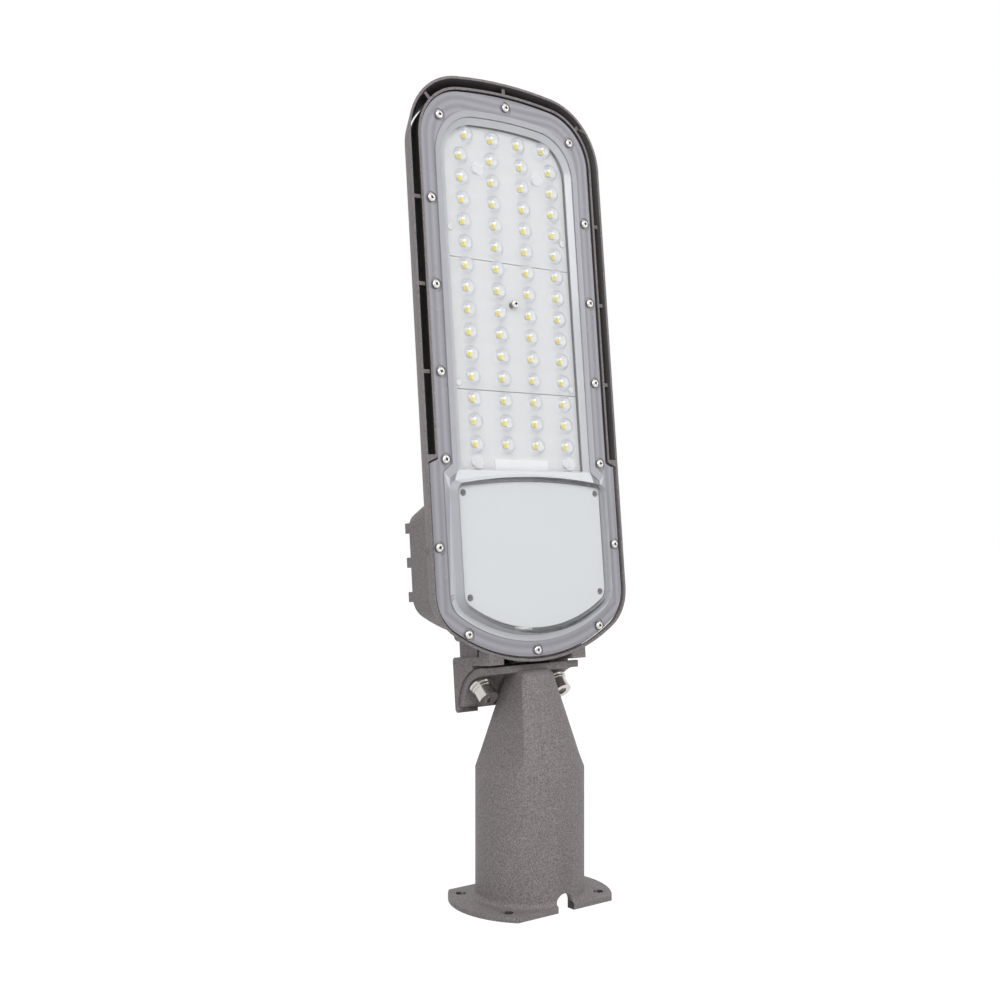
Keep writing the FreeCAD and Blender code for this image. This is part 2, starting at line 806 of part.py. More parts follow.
# Screws: pan head with a cross recess over a plain shank, all in one group.
def screw_group(name, spots, seat, tall, shank, recess=True, head="screw_head"):
    head = val(head)
    high = val(tall)
    edge = high * 0.45
    turned = Part.makePolygon([
        FreeCAD.Vector(0, val(shank), 0),
        FreeCAD.Vector(val("screw_shank"), val(shank), 0),
        FreeCAD.Vector(val("screw_shank"), 0, 0),
        FreeCAD.Vector(head, 0, 0),
        FreeCAD.Vector(head, -edge, 0),
        FreeCAD.Vector(head - (high - edge), -high, 0),
        FreeCAD.Vector(0, -high, 0),
        FreeCAD.Vector(0, val(shank), 0),
    ])
    screw = Part.Face(turned).revolve(FreeCAD.Vector(), FreeCAD.Vector(0, 1, 0), 360)
    if recess:
        slot = val("screw_slot")
        for wide, tall_way in ((head, slot), (slot, head)):
            corner = FreeCAD.Vector(-wide / 2, -high, -tall_way / 2)
            screw = screw.cut(Part.makeBox(wide, high / 2, tall_way, corner))
    copies = []
    for x, z in spots:
        copy = screw.copy()
        copy.translate(FreeCAD.Vector(
            val(x), val(seat) - val("cover_plane"), val(z) + val("screw_row")))
        copies.append(copy)
    group = doc.addObject("Part::Feature", name)
    group.Label = name
    group.Shape = Part.makeCompound(copies)
    tilt = FreeCAD.Rotation(FreeCAD.Vector(1, 0, 0), -val("head_lean"))
    shift = FreeCAD.Vector(0, -val("pivot_forward"), val("pivot_height"))
    group.Placement = FreeCAD.Placement(shift, tilt)
    PARTS.append(group)


def build_screws():
    screw_group("cover_screws", screw_spots, "(cover_front + 0.5)", "2.2", "screw_long - 4.5")
    screw_group("centre_screw", centre_spot, "pan_depth", "2.0", "8.0")
    screw_group("board_screws", BOARD_SCREWS + EDGE_SCREWS, "(floor_depth - board_thick)",
                "0.9", "4.5", recess=False, head="board_screw_head")
    screw_group("panel_screws", panel_spots, "(-panel_front)", "1.3", "8.0")


# Lamp boards with their chips.
def board(name, low, high, spots):
    body = new_body(name)
    sketch = at_depth(body, name + "_outline", "floor_depth")
    if high:
        box(sketch, "-board_half", "board_half", low, high)
    else:
        path(sketch, arch("pan_round - board_high_round - 1", low, PAN))
    push(body, sketch, "board_thick")
    sketch = at_depth(body, name + "_holes", "floor_depth - board_thick")
    circles(sketch, spots, "screw_shank + 0.3")
    push(body, sketch, "board_thick", back=True, cut=True)


def build_boards():
    board("led_board_bottom", "board_low", "board_join_low - board_slit", BOARD_SCREWS[2:])
    board("led_board_middle", "board_join_low + board_slit",
          "board_join_high - board_slit", EDGE_SCREWS[2:] + centre_spot)
    board("led_board_top", "board_join_high + board_slit", None,
          BOARD_SCREWS[:2] + EDGE_SCREWS[:2])
    body = new_body("led_chips")
    for name, pitch, low, rows in LAMP_ROWS:
        sketch = draw(body, "chip_" + name, "XZ", (
            "-1.5 * " + pitch, "screw_row + " + low,
            "cover_plane - floor_depth + board_thick"))
        box(sketch, "-chip_side / 2", "chip_side / 2", "-chip_side / 2", "chip_side / 2")
        chip = push(body, sketch, "chip_tall")
        repeat(body, chip, sketch, lamp_steps(pitch, rows))
    body = new_body("wire_cover")
    sketch = at_depth(body, "tab_outline", "floor_depth - board_thick")
    box(sketch, "-tab_half", "tab_half", "tab_low + 2", "tab_high")
    push(body, sketch, "floor_depth - board_thick - tab_front")


# Driver box contents: panel, driver, terminals, surge unit, gland, earth.
def build_panel():
    body = new_body("driver_panel")
    sketch = at_depth(body, "panel_outline", "panel_thick - panel_front")
    path(sketch, tub("panel_inset", "panel_top", "panel_corner", "panel_top_round"))
    circles(sketch, panel_spots, "screw_shank + 0.3")
    push(body, sketch, "panel_thick")


def build_electrics():
    back = "(box_back - box_wall)"
    body = new_body("led_driver")
    sketch = at_depth(body, "driver_case", back)
    box(sketch, "-driver_half", "driver_half", "driver_low", "driver_high")
    push(body, sketch, "driver_tall")
    sketch = at_depth(body, "driver_ears", back)
    box(sketch, "-driver_half - driver_ear", "driver_half + driver_ear",
        "driver_low + 12", "driver_high - 12")
    push(body, sketch, "driver_ear_thick")
    ears = [("driver_half + 3.5", "(driver_low + driver_high) / 2"),
            ("-(driver_half + 3.5)", "(driver_low + driver_high) / 2")]
    sketch = at_depth(body, "ear_holes", back + " - driver_ear_thick")
    circles(sketch, ears, "screw_shank + 0.3")
    push(body, sketch, "driver_ear_thick", back=True, cut=True)
    screw_group("driver_screws", ears, back + " - driver_ear_thick", "1.8",
                "driver_ear_thick", recess=False)
    body = new_body("terminal_block")
    sketch = at_depth(body, "terminal_case", back)
    box(sketch, "terminal_x - terminal_half", "terminal_x + terminal_half",
        "terminal_low", "terminal_high")
    push(body, sketch, "terminal_tall")
    sketch = at_depth(body, "terminal_wells", back + " - terminal_tall")
    for step in ("-8", "0", "8"):
        circles(sketch, [("terminal_x + (%s)" % step, "(terminal_low + terminal_high) / 2")],
                "2.4")
    push(body, sketch, "5", back=True, cut=True)
    body = new_body("surge_protector")
    sketch = at_depth(body, "surge_case", back)
    box(sketch, "-terminal_x - terminal_half", "-terminal_x + terminal_half",
        "terminal_low", "terminal_high")
    push(body, sketch, "surge_tall")
    body = new_body("earth_screw")
    sketch = at_depth(body, "earth_head", back)
    circles(sketch, [("0", "33")], "3.5")
    push(body, sketch, "3.0")


def hexagon(sketch, flat):
    wide = "(%s) / cos(30)" % flat
    path(sketch, [(wide, "0"), ("%s / 2" % wide, flat), ("-%s / 2" % wide, flat),
                  ("-" + wide, "0"), ("-%s / 2" % wide, "-(%s)" % flat),
                  ("%s / 2" % wide, "-(%s)" % flat)])


def build_gland():
    mouth = "channel_top - gland_hex_tall - gland_cap_tall"
    body = new_body("cable_gland")
    sketch = draw(body, "gland_hex", "XY", ("0", "gland_v", "channel_top"))
    hexagon(sketch, "gland_flat")
    push(body, sketch, "gland_hex_tall", back=True)
    sketch = draw(body, "gland_cap", "XY", ("0", "gland_v", "channel_top - gland_hex_tall"))
    circles(sketch, [("0", "0")], "gland_flat - 1")
    push(body, sketch, "gland_cap_tall", back=True, taper="-8")
    sketch = draw(body, "gland_stem", "XY", ("0", "gland_v", "channel_top"))
    circles(sketch, [("0", "0")], "gland_thread")
    push(body, sketch, "12.0")
    sketch = draw(body, "gland_way", "XY", ("0", "gland_v", mouth))
    circles(sketch, [("0", "0")], "gland_bore")
    push(body, sketch, "40", cut=True)
    body = new_body("gland_seal")
    sketch = draw(body, "seal_ring", "XY", ("0", "gland_v", mouth))
    circles(sketch, [("0", "0")], "gland_bore")
    circles(sketch, [("0", "0")], "cable_bore")
    push(body, sketch, "gland_hex_tall + gland_cap_tall")
    body = new_body("gland_nut")
    sketch = draw(body, "nut_hex", "XY", ("0", "gland_v", "channel_top + nut_seat"))
    hexagon(sketch, "gland_flat + 1")
    circles(sketch, [("0", "0")], "gland_thread + 0.1")
    push(body, sketch, "nut_tall")


# Tilt bolts with their washers.
def build_bolts():
    pair = [("bolt_x", "0"), ("-bolt_x", "0")]
    body = new_body("tilt_bolts")
    sketch = radial(body, "bolt_shanks", HEAD_SEAT)
    circles(sketch, pair, "bolt_round")
    push(body, sketch, "bolt_long")
    sketch = radial(body, "bolt_heads", HEAD_SEAT)
    circles(sketch, pair, "bolt_head")
    push(body, sketch, "bolt_head_tall", back=True)
    sketch = radial(body, "bolt_keys", HEAD_SEAT + " - bolt_head_tall")
    wide = "bolt_key / cos(30)"
    turns = [(wide, "0"), (wide + " / 2", "bolt_key"), ("-" + wide + " / 2", "bolt_key"),
             ("-" + wide, "0"), ("-" + wide + " / 2", "-bolt_key"),
             (wide + " / 2", "-bolt_key")]
    for side in ("", "-"):
        path(sketch, [("%sbolt_x + %s" % (side, x), y) for x, y in turns])
    push(body, sketch, "bolt_head_tall / 2", cut=True)
    for name, seat, outer, inner, thick in (
        ("spring_washers", HEAD_SEAT, "spring_round", "bolt_round + 0.1", "spring_thick"),
        ("flat_washers", HEAD_SEAT + " + spring_thick", "washer_round", "bolt_round + 0.2",
         "washer_thick"),
    ):
        body = new_body(name)
        sketch = radial(body, name + "_ring", seat)
        circles(sketch, pair, outer)
        circles(sketch, pair, inner)
        push(body, sketch, thick)
        if name == "spring_washers":
            sketch = radial(body, "spring_splits", seat)
            for side in ("", "-"):
                box(sketch, side + "bolt_x - 0.6", side + "bolt_x + 0.6",
                    "bolt_round - 1", "spring_round + 1")
            push(body, sketch, thick, cut=True)


# Pole spigot: flanged tube, cone with two flat side scoops for the bolt
# heads, and the arc plate on the pivot with its two slots.
def spigot_shell(body):
    sketch = draw(body, "shell_profile", "XZ")
    tip = "(tube_round - cone_slope * (cone_high - nose_round - tube_high))"
    path(sketch, [
        ("bore_round", "0"),
        ("flange_round", "0"),
        ("flange_round", "flange_thick"),
        ("tube_round + flange_fillet", "flange_thick", "flange_fillet", -1),
        ("tube_round", "flange_thick + flange_fillet"),
        ("tube_round", "tube_high"),
        (tip, "cone_high - nose_round", "nose_round", 1),
        (tip + " - nose_round", "cone_high"),
        ("0", "cone_high"),
        ("0", "throat_end"),
        ("throat_top", "throat_end"),
        ("throat_round", "throat_high"),
        ("bore_round", "throat_low"),
    ])
    spin(body, sketch)


def sector(inner, outer, low, high):
    return [
        ("(%s) * cos(%s)" % (inner, low), "(%s) * sin(%s)" % (inner, low)),
        ("(%s) * cos(%s)" % (outer, low), "(%s) * sin(%s)" % (outer, low), outer, 1),
        ("(%s) * cos(%s)" % (outer, high), "(%s) * sin(%s)" % (outer, high)),
        ("(%s) * cos(%s)" % (inner, high), "(%s) * sin(%s)" % (inner, high), inner, -1),
    ]


def spigot_plate(body):
    pivot = ("-pivot_forward", "pivot_height")
    pair = [("bolt_x", "0"), ("-bolt_x", "0")]
    sketch = draw(body, "plate_profile", "YZ", pivot + ("0",))
    path(sketch, sector("plate_round", "plate_round + plate_thick", "plate_low",
                        "plate_high"))
    push(body, sketch, "2 * plate_half", both=True)
    sketch = draw(body, "nose_trim", "YZ", pivot + ("0",))
    path(sketch, sector("plate_round + plate_thick", "plate_round + plate_thick + 9",
                        "plate_low", "plate_high"))
    push(body, sketch, "2 * tube_round", both=True, cut=True)
    for side, name in (("", "right"), ("-", "left")):
        sketch = draw(body, "slot_sector_" + name, "YZ", pivot + (side + "bolt_x",))
        path(sketch, sector("plate_round - 3", "plate_round + plate_thick + 3",
                            "slot_low", "slot_high"))
        push(body, sketch, "2 * slot_round", both=True, cut=True)
    for angle, name in (("slot_low", "low"), ("slot_high", "high")):
        sketch = radial(body, "slot_end_" + name, "plate_round - 3", angle, pivot)
        circles(sketch, pair, "slot_round")
        push(body, sketch, "plate_thick + 6", cut=True)
    sketch = radial(body, "cable_window", "plate_round - 14", "window_angle", pivot)
    circles(sketch, [("0", "0")], "window_round")
    push(body, sketch, "plate_thick + 22", cut=True)


def build_spigot():
    body = new_body("spigot", on_head=False)
    spigot_shell(body)
    sketch = draw(body, "scoops", "XZ")
    top = "scoop_x - scoop_slope * (cone_high + 10 - scoop_z)"
    for side, turn in (("", -1), ("-", 1)):
        path(sketch, [
            (side + "scoop_x", "scoop_z", "21.6", -turn),
            (side + "(tube_round + 0.2)", "scoop_foot"),
            (side + "70", "scoop_foot"),
            (side + "70", "cone_high + 10"),
            (side + "(%s)" % top, "cone_high + 10"),
        ])
    push(body, sketch, "4 * tube_round", both=True, cut=True)
    spigot_plate(body)
    sketch = draw(body, "flats", "XY")
    for side in ("", "-"):
        box(sketch, "-flange_round - 1", "flange_round + 1",
            side + "flange_flat", side + "(flange_round + 1)")
    push(body, sketch, "flange_thick + flange_fillet + 1", cut=True)
    sketch = draw(body, "flange_holes", "XY")
    circles(sketch, [("hole_x", "hole_y"), ("-hole_x", "hole_y"),
                     ("hole_x", "-hole_y"), ("-hole_x", "-hole_y")], "hole_round")
    push(body, sketch, "flange_thick + flange_fillet + 1", cut=True)
    sketch = draw(body, "cable_notch", "XZ")
    path(sketch, [
        ("notch_half", "-1"),
        ("notch_half", "notch_high - notch_half", "notch_half", 1),
        ("0", "notch_high", "notch_half", 1),
        ("-notch_half", "notch_high - notch_half"),
        ("-notch_half", "-1"),
    ])
    push(body, sketch, "flange_round + 5", cut=True)


build_housing()
build_seal()
build_cover()
build_screws()
build_boards()
build_panel()
build_electrics()
build_gland()
build_bolts()
build_spigot()
doc.recompute()

for item in doc.Objects:
    if "Invalid" in item.State or "Error" in item.State:
        raise RuntimeError("not computed: " + item.Name)

os.makedirs("parts", exist_ok=True)
for body in PARTS:
    shape = body.Shape
    if shape.isNull() or not shape.isValid():
        raise RuntimeError("bad shape: " + body.Label)
    shape.exportStep("parts/" + body.Label + ".step")
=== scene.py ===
import bpy
import bmesh
import math
from mathutils import Matrix, Vector


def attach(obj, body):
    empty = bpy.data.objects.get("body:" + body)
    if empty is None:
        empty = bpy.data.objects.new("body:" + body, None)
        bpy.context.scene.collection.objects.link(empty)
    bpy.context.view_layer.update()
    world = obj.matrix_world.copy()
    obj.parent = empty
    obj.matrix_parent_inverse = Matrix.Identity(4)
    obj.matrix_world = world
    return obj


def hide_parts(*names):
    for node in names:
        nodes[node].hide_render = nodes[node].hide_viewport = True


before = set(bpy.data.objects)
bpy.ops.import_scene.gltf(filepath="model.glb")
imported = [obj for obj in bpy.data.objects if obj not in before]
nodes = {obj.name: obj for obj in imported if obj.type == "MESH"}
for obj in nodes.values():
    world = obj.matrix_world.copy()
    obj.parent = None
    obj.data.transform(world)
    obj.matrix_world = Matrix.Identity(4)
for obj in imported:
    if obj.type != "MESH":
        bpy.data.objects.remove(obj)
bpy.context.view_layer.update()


# The castings: light head housing and pole spigot, die-cast aluminium with a
# coarse sandy powder coat. The coat is a warm grey with darker and lighter
# grains, so its colour, sheen and height all follow the same grain.
class Signal:
    """A node output that can be added, scaled and fed on."""

    def __init__(self, tree, socket):
        self.tree = tree
        self.socket = socket

    def node(self, kind, feed=0, out=0, **settings):
        made = self.tree.nodes.new(kind)
        for key, value in settings.items():
            if hasattr(made, key):
                setattr(made, key, value)
            else:
                made.inputs[key.replace("_", " ").title()].default_value = value
        self.tree.links.new(self.socket, made.inputs[feed])
        return Signal(self.tree, made.outputs[out])

    def sum(self, kind, other, swapped=False):
        made = self.tree.nodes.new("ShaderNodeMath")
        made.operation = kind
        for side, value in enumerate((other, self) if swapped else (self, other)):
            if isinstance(value, Signal):
                self.tree.links.new(value.socket, made.inputs[side])
            else:
                made.inputs[side].default_value = value
        return Signal(self.tree, made.outputs[0])

    def __add__(self, other):
        return self.sum("ADD", other)

    def __radd__(self, other):
        return self.sum("ADD", other, True)

    def __sub__(self, other):
        return self.sum("SUBTRACT", other)

    def __rsub__(self, other):
        return self.sum("SUBTRACT", other, True)

    def __mul__(self, other):
        return self.sum("MULTIPLY", other)

    def __rmul__(self, other):
        return self.sum("MULTIPLY", other, True)

    def tint(self, dark, light):
        """Blend between two colours."""
        made = self.tree.nodes.new("ShaderNodeMix")
        made.data_type = "RGBA"
        made.inputs[6].default_value = (*dark, 1)
        made.inputs[7].default_value = (*light, 1)
        self.tree.links.new(self.socket, made.inputs[0])
        return Signal(self.tree, made.outputs[2])

    def into(self, node, name):
        self.tree.links.new(self.socket, node.inputs[name])


def new_finish(name):
    """A material with its shader and a signal of Object coordinates."""
    material = bpy.data.materials.new(name)
    material.use_nodes = True
    tree = material.node_tree
    shader = tree.nodes["Principled BSDF"]
    place = tree.nodes.new("ShaderNodeTexCoord")
    return material, shader, Signal(tree, place.outputs["Object"])


def raise_grain(shader, grain, depth, strength=1.0):
    """Bump from a grain signal; depth in metres."""
    bump = grain.tree.nodes.new("ShaderNodeBump")
    bump.inputs["Distance"].default_value = depth
    bump.inputs["Strength"].default_value = strength
    grain.into(bump, "Height")
    grain.tree.links.new(bump.outputs["Normal"], shader.inputs["Normal"])


def sandy_coat(name, dark, light):
    coat, shader, place = new_finish(name)
    fine = place.node("ShaderNodeTexNoise", Scale=2300.0, Detail=1.0, Roughness=0.5)
    coarse = place.node("ShaderNodeTexNoise", Scale=800.0, Detail=1.0, Roughness=0.5)
    grain = fine * 0.75 + coarse * 0.25
    sharp = (grain - 0.5) * 5.0 + 0.5
    sharp.tint(dark, light).into(shader, "Base Color")
    (grain * 0.25 + 0.45).into(shader, "Roughness")
    raise_grain(shader, grain, 0.00035, 0.7)
    return coat


coat = sandy_coat("sandy_powder_coat", (0.100, 0.088, 0.090), (0.275, 0.242, 0.246))
# Near-black copy of the coat: painted shade for the walls deep in the slots and holes.
painted_shade_coat = sandy_coat("painted_shade_in_slots", (0.014, 0.012, 0.012), (0.042, 0.036, 0.036))
for name in ("housing", "spigot"):
    nodes[name].data.materials.clear()
    nodes[name].data.materials.append(coat)


# Front cover: one clear polycarbonate moulding. Its pan over the lamps, its
# lenses and the bulge over the driver panel are clear; the flange round them
# is finely textured, which makes it look milky with a violet cast.
PIVOT = Vector((0, -0.003, 0.1233))
LEAN = math.radians(5.5)
COVER_PLANE = 0.01012
SCREW_ROW = 0.03525


def on_head(point):
    """Row frame to head frame: across, forward of the cover plane, up."""
    offset = point - PIVOT
    rear = offset.y * math.cos(LEAN) - offset.z * math.sin(LEAN)
    up = offset.y * math.sin(LEAN) + offset.z * math.cos(LEAN)
    return Vector((offset.x, -COVER_PLANE - rear, up - SCREW_ROW))


# Castings have no sharp edges: each is shown by a copy of its solid whose
# edges are rounded by half a millimetre.
def soft_casting(source, name, body, round_off):
    mesh = bmesh.new()
    mesh.from_mesh(nodes[source].data)
    bmesh.ops.remove_doubles(mesh, verts=mesh.verts, dist=0.00001)
    bmesh.ops.dissolve_limit(
        mesh, angle_limit=math.radians(1), verts=mesh.verts, edges=mesh.edges)
    data = bpy.data.meshes.new(name)
    mesh.to_mesh(data)
    mesh.free()
    data.materials.append(coat)
    data.materials.append(painted_shade_coat)
    piece = bpy.data.objects.new(name, data)
    bpy.context.collection.objects.link(piece)
    bevel = piece.modifiers.new("edges", "BEVEL")
    bevel.width = round_off
    bevel.segments = 2
    bevel.limit_method = "ANGLE"
    bevel.angle_limit = math.radians(35)
    bevel.harden_normals = True
    for face in data.polygons:
        face.use_smooth = True
    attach(piece, body)
    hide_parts(source)
    return piece


# The walls deep in the slots between the rim and the tray, and in the holes of the foot, get a
# near-black copy of the coat: painted shade where little light reaches.
def shade_slots(mesh):
    for face in mesh.polygons:
        spot = on_head(face.center)
        facing = on_head(face.center + face.normal) - spot
        side = abs(spot.x)
        if spot.z > 0.3255 and side < 0.0394:
            inset = 0.3 - math.hypot(side, spot.z - 0.0727)
        else:
            inset = 0.045 - math.hypot(max(side - 0.0335, 0), max(spot.z - 0.3255, 0))
        middle = Vector((0, 0, min(max(spot.z, 0.12), 0.27)))
        outward = Vector((spot.x, 0, spot.z)) - middle
        faces_out = outward.dot(Vector((facing.x, 0, facing.z))) > 0.2 * outward.length
        depth = -spot.y
        past_rim = inset > (0.0036 + 0.38 * depth if faces_out else 0.0012)
        slot = 0.0016 < depth < 0.0199 and spot.z > 0.122 and inset < 0.0165
        if slot and past_rim and abs(facing.y) < 0.6:
            face.material_index = 1


shade_slots(soft_casting("housing", "head_casting", "head", 0.0004).data)
foot = soft_casting("spigot", "spigot_casting", "spigot", 0.0006)
# Faces inside the foot's holes get the painted shade coat.
for face in foot.data.polygons:
    reach = Vector((face.center.x, face.center.y)).length
    sideways = abs(face.normal.z) < 0.3 and face.center.z < 0.004
    facing_in = face.center.xy.dot(face.normal.xy) < 0
    if sideways and face.area < 0.00003 and reach > 0.0335:
        face.material_index = 1 if reach < 0.0425 or facing_in else 0


def see_through(name, dark, light, alpha, rough):
    """A thin moulded wall: its tint, how much of it is solid, its sheen."""
    finish, shader, place = new_finish(name)
    haze = place.node("ShaderNodeTexNoise", Scale=38.0, Detail=2.0)
    haze.tint(dark, light).into(shader, "Base Color")
    (haze * 0.08 + rough).into(shader, "Roughness")
    shader.inputs["IOR"].default_value = 1.59
    shader.inputs["Alpha"].default_value = alpha
    shader.inputs["Coat Weight"].default_value = 0.6
    shader.inputs["Coat Roughness"].default_value = 0.06
    return finish


clear = see_through("clear_pan", (0.80, 0.82, 0.84), (0.86, 0.88, 0.90), 0.10, 0.08)
flange = see_through("textured_flange", (0.29, 0.285, 0.325), (0.36, 0.352, 0.395), 0.80, 0.24)
tree = flange.node_tree
place = Signal(tree, tree.nodes["Texture Coordinate"].outputs["Object"])
across = place.node("ShaderNodeSeparateXYZ", out=0).sum("ABSOLUTE", 0)
height = place.node("ShaderNodeSeparateXYZ", out=2)
rise = height * 1.0046 - 0.1599
aside = (across - 0.0335).sum("MAXIMUM", 0)
beyond = (rise - 0.3255).sum("MAXIMUM", 0)
crown = (aside * aside + beyond * beyond).sum("SQRT", 0)
under = (0.1112 - rise).sum("MAXIMUM", 0)
keel = ((across * across + under * under).sum("SQRT", 0) - 0.088).sum("MAXIMUM", across - 0.0485)
ring = crown + rise.sum("LESS_THAN", 0.12) * (keel - crown)
# Light and dark rings that follow the flange outline: painted light and shade standing in for its
# fine moulded ridges.
painted_ridge_shading = (ring * 1150.0).sum("SINE", 0) * 0.5 + 0.5
painted_ridge_shading.tint((0.25, 0.246, 0.283), (0.355, 0.35, 0.392)).into(
    tree.nodes["Principled BSDF"], "Base Color")
bead = see_through("pressed_bead", (0.46, 0.46, 0.51), (0.55, 0.55, 0.60), 0.70, 0.14)
frost = see_through("frosted_wall", (0.60, 0.62, 0.655), (0.68, 0.70, 0.735), 0.80, 0.2)

bridge = see_through("bridge_rib", (0.64, 0.665, 0.69), (0.70, 0.725, 0.75), 0.95, 0.2)
boss = see_through("clear_boss", (0.84, 0.86, 0.88), (0.90, 0.91, 0.93), 0.30, 0.08)
BOSSES = [(0.02445, 0.3126), (0.03755, 0.1207)]

optic, shader, place = new_finish("clear_lens")
shader.inputs["Base Color"].default_value = (0.97, 0.975, 0.985, 1)
shader.inputs["Transmission Weight"].default_value = 1.0
shader.inputs["IOR"].default_value = 1.22
shader.inputs["Coat Weight"].default_value = 1.0
shader.inputs["Coat IOR"].default_value = 1.7
shader.inputs["Coat Roughness"].default_value = 0.03
ripple = place.node("ShaderNodeTexNoise", Scale=60.0, Detail=1.0)
(ripple * 0.03 + 0.01).into(shader, "Roughness")
# The steep sides of each lens take a grey copy of the lens finish: painted shade for the dark ring
# round each lens.
lens_edge_shade = optic.copy()
lens_edge_shade.name = "lens_edge_painted_shade"
lens_edge_shade.node_tree.nodes["Principled BSDF"].inputs["Base Color"].default_value = (0.60, 0.61, 0.65, 1)


def in_arch(spot, half, corner, top):
    """Whether a spot lies in the lamp pan's outline."""
    side = abs(spot.x)
    if spot.z < corner or side < half - 0.025:
        return side < half and 0.1105 < spot.z < top
    return math.hypot(side - half + 0.025, spot.z - corner) < 0.025


cover = nodes["front_cover"]
cover.data.materials.clear()
for finish in (clear, flange, bead, frost, optic, lens_edge_shade, bridge, boss):
    cover.data.materials.append(finish)
for face in cover.data.polygons:
    spot = on_head(face.center)
    facing = on_head(face.center + face.normal) - spot
    across = abs(spot.x)
    level = abs(facing.y) > 0.9
    near_boss = min(math.hypot(across - x, spot.z - z) for x, z in BOSSES) < 0.0055
    front = spot.y > -0.0025 if level else spot.y > -0.0039
    if 0.1045 < spot.z < 0.1172 and across < 0.056 and front and spot.y < 0.0035:
        face.material_index = 6
    elif near_boss and spot.y > -0.00385:
        face.material_index = 7
    elif in_arch(spot, 0.0497, 0.316, 0.3425):
        domed = spot.y > -0.00385 and spot.z > 0.118
        # Steep dome faces get the grey lens copy, which is painted shade.
        face.material_index = (4 if facing.y > 0.80 else 5) if domed else 0
    elif in_arch(spot, 0.0565, 0.320, 0.349) and spot.y < -0.0014:
        face.material_index = 3 if not level else 1
    elif 0.007 < spot.z < 0.1125 and across < 0.064 and spot.y > -0.0017:
        face.material_index = 0 if level and spot.y > 0.0035 else 3
    elif 0.105 < spot.z < 0.118 and across < 0.055:
        face.material_index = 3
    elif spot.y > -0.0017:
        face.material_index = 2
    else:
        face.material_index = 1


# Lamp boards: white solder mask on aluminium, with a yellow phosphor chip
# under each lens and a white clip over the leads at their lower end.
mask, shader, place = new_finish("white_solder_mask")
weave = place.node("ShaderNodeTexNoise", Scale=300.0, Detail=2.0)
weave.tint((0.72, 0.735, 0.74), (0.77, 0.78, 0.785)).into(shader, "Base Color")
(weave * 0.2 + 0.3).into(shader, "Roughness")

for name in ("led_board_top", "led_board_middle", "led_board_bottom", "led_chips"):
    nodes[name].data.materials.clear()
    nodes[name].data.materials.append(mask)
nylon, shader, place = new_finish("white_nylon")
bloom = place.node("ShaderNodeTexNoise", Scale=120.0, Detail=2.0)
bloom.tint((0.84, 0.85, 0.86), (0.90, 0.905, 0.91)).into(shader, "Base Color")
(bloom * 0.1 + 0.35).into(shader, "Roughness")
nodes["wire_cover"].data.materials.clear()
nodes["wire_cover"].data.materials.append(nylon)


ahead = Vector((0, -math.cos(LEAN), math.sin(LEAN)))
upward = Vector((0, math.sin(LEAN), math.cos(LEAN)))


def islands(mesh):
    """The separate solids of a mesh, as lists of vertices."""
    left = set(mesh.verts)
    found = []
    while left:
        front = [left.pop()]
        group = list(front)
        while front:
            for edge in front.pop().link_edges:
                for vert in edge.verts:
                    if vert in left:
                        left.remove(vert)
                        group.append(vert)
                        front.append(vert)
        found.append(group)
    return found


def slimmer_copy(source, name, share, lift, finishes, round_off=0.0):
    """A copy of a group of fasteners, each drawn in about its own axis."""
    mesh = bmesh.new()
    mesh.from_mesh(nodes[source].data)
    bmesh.ops.remove_doubles(mesh, verts=mesh.verts, dist=0.00001)
    bmesh.ops.dissolve_limit(
        mesh, angle_limit=math.radians(1), verts=mesh.verts, edges=mesh.edges)
    for group in islands(mesh):
        low = Vector([min(v.co[i] for v in group) for i in range(3)])
        high = Vector([max(v.co[i] for v in group) for i in range(3)])
        middle = (low + high) / 2
        for vert in group:
            along = (vert.co - middle).dot(ahead)
            flat = vert.co - middle - ahead * along
            vert.co = middle + ahead * (along + lift) + flat * share
    data = bpy.data.meshes.new(name)
    mesh.to_mesh(data)
    mesh.free()
    piece = bpy.data.objects.new(name, data)
    bpy.context.collection.objects.link(piece)
    for finish in finishes:
        data.materials.append(finish)
    if round_off:
        bevel = piece.modifiers.new("edges", "BEVEL")
        bevel.width = round_off
        bevel.segments = 2
        bevel.limit_method = "ANGLE"
        bevel.angle_limit = math.radians(32)
    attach(piece, "head")
    return piece


# Phosphor: the yellow square that each lamp shows on its white package.
phosphor, shader, place = new_finish("yellow_phosphor")
speck = place.node("ShaderNodeTexNoise", Scale=2500.0, Detail=1.0)
speck.tint((0.82, 0.66, 0.02), (0.88, 0.75, 0.08)).into(shader, "Base Color")
shader.inputs["Roughness"].default_value = 0.5
slimmer_copy("led_chips", "phosphor_squares", 0.95, 0.00006, [phosphor])


# Driver panel: white painted sheet steel with rounded corners, screwed to
# four posts behind the bulge of the cover.
paint, shader, place = new_finish("white_panel_paint")
peel = place.node("ShaderNodeTexNoise", Scale=500.0, Detail=2.0)
peel.tint((0.66, 0.69, 0.70), (0.71, 0.735, 0.745)).into(shader, "Base Color")
(peel * 0.2 + 0.35).into(shader, "Roughness")
raise_grain(shader, peel, 0.00003, 0.5)
nodes["driver_panel"].data.materials.clear()
nodes["driver_panel"].data.materials.append(paint)


# Screws, tilt bolts, washers and cable gland: turned stainless and nickel
# plated steel with fine turning marks. The cover and centre screws are pan
# heads with rolled edges; the panel's countersunk screws show only as dots.
def turned_metal(name, dark, light, rough):
    metal, shader, place = new_finish(name)
    marks = place.node("ShaderNodeTexNoise", Scale=1800.0, Detail=3.0)
    marks.tint(dark, light).into(shader, "Base Color")
    shader.inputs["Metallic"].default_value = 1.0
    (marks * 0.25 + rough).into(shader, "Roughness")
    return metal


